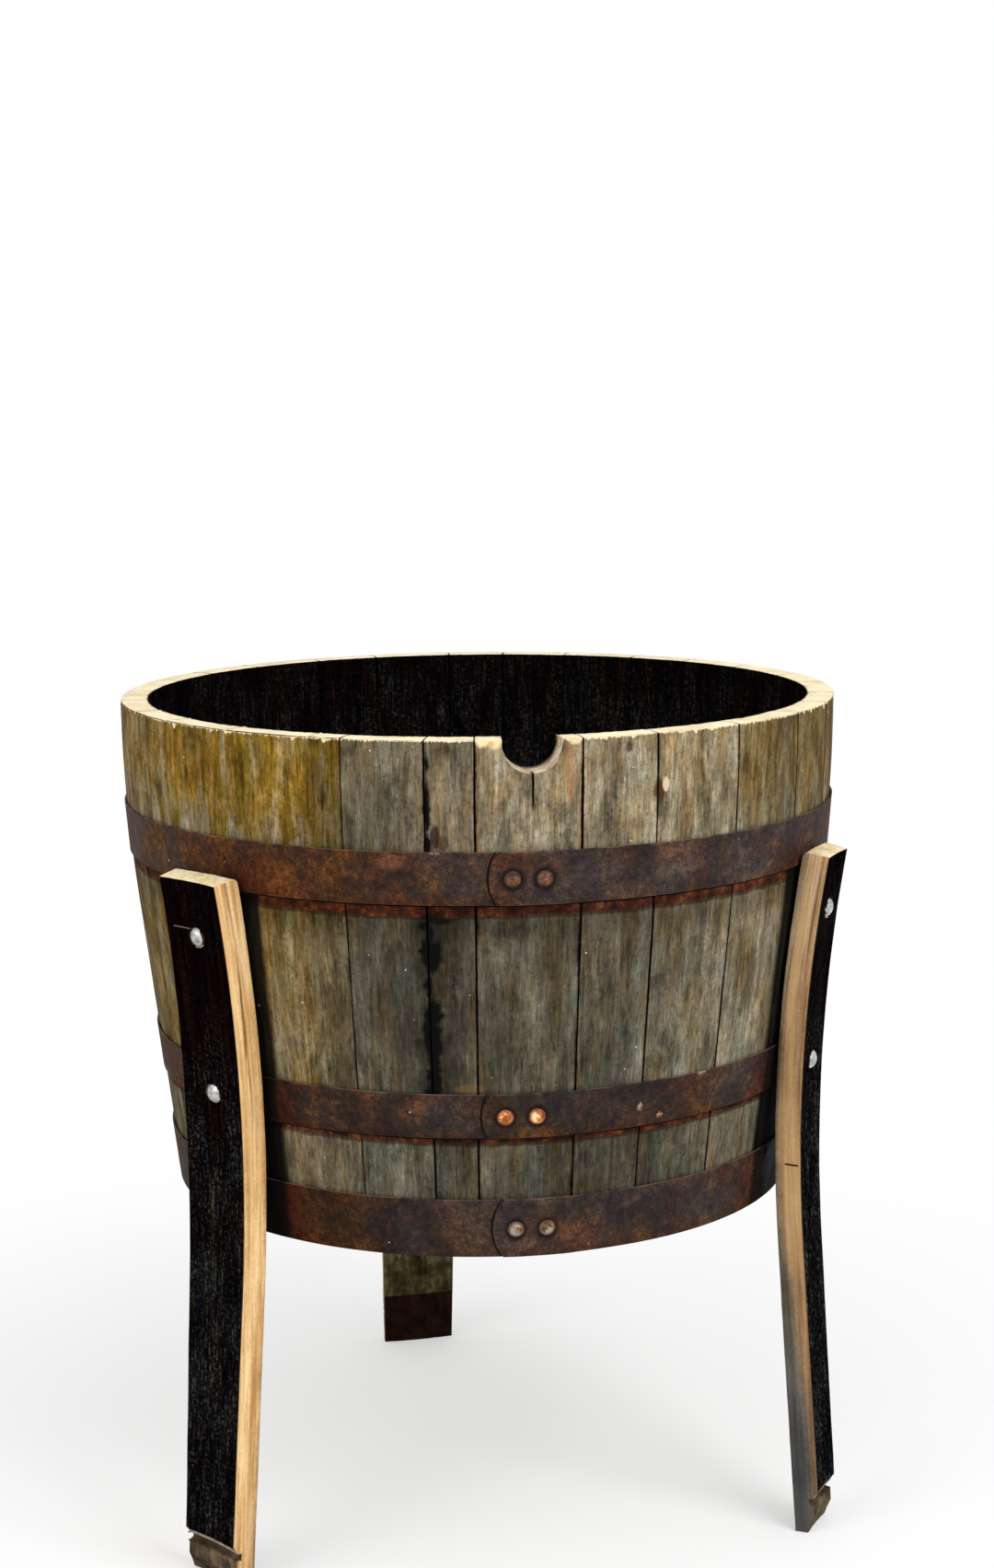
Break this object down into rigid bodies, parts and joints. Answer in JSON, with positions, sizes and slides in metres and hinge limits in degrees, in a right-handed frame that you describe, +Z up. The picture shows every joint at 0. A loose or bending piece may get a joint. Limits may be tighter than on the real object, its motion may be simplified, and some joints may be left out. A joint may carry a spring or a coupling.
{
  "type": "barrel planter",
  "caption": "Wooden planter made of half a wine barrel with riveted steel hoops, standing on legs cut from barrel staves and held by carriage bolts.",
  "frame": {"origin": "on the floor, at the middle of the box round the whole planter", "axes": "+Z up, -Y towards the bung notch in the rim, which is the front"},
  "size_m": [0.7, 0.7333, 0.8043],
  "materials": {
    "weathered_oak": "weathered",
    "head_oak": "weathered",
    "leg_oak": "charred face, fresh sawn edges",
    "dowel_wood": "plain",
    "hoop_steel": "rusted",
    "rivet_steel": "rusted",
    "zinc": "zinc plated"
  },
  "bodies": {
    "root": {"bung_stave": "weathered_oak", "stave_02": "weathered_oak", "stave_03": "weathered_oak", "stave_04": "weathered_oak", "stave_05": "weathered_oak", "stave_06": "weathered_oak", "stave_07": "weathered_oak", "stave_08": "weathered_oak", "stave_09": "weathered_oak", "stave_10": "weathered_oak", "stave_11": "weathered_oak", "stave_12": "weathered_oak", "stave_13": "weathered_oak", "stave_14": "weathered_oak", "stave_15": "weathered_oak", "stave_16": "weathered_oak", "stave_17": "weathered_oak", "stave_18": "weathered_oak", "stave_19": "weathered_oak", "stave_20": "weathered_oak", "stave_21": "weathered_oak", "stave_22": "weathered_oak", "stave_23": "weathered_oak", "stave_24": "weathered_oak", "stave_25": "weathered_oak", "stave_26": "weathered_oak", "stave_27": "weathered_oak", "stave_28": "weathered_oak", "head_board_1": "head_oak", "head_board_2": "head_oak", "head_board_3": "head_oak", "head_board_4": "head_oak", "head_board_5": "head_oak", "head_board_6": "head_oak", "head_dowels": "dowel_wood", "bilge_hoop": "hoop_steel", "quarter_hoop": "hoop_steel", "head_hoop": "hoop_steel", "bilge_hoop_rivets": "rivet_steel", "quarter_hoop_rivets": "rivet_steel", "head_hoop_rivets": "rivet_steel", "hoop_nails": "rivet_steel", "left_leg": "leg_oak", "right_leg": "leg_oak", "back_leg": "leg_oak", "leg_bolts": "zinc", "leg_washers": "zinc", "leg_nuts": "zinc"}
  },
  "joints": []
}
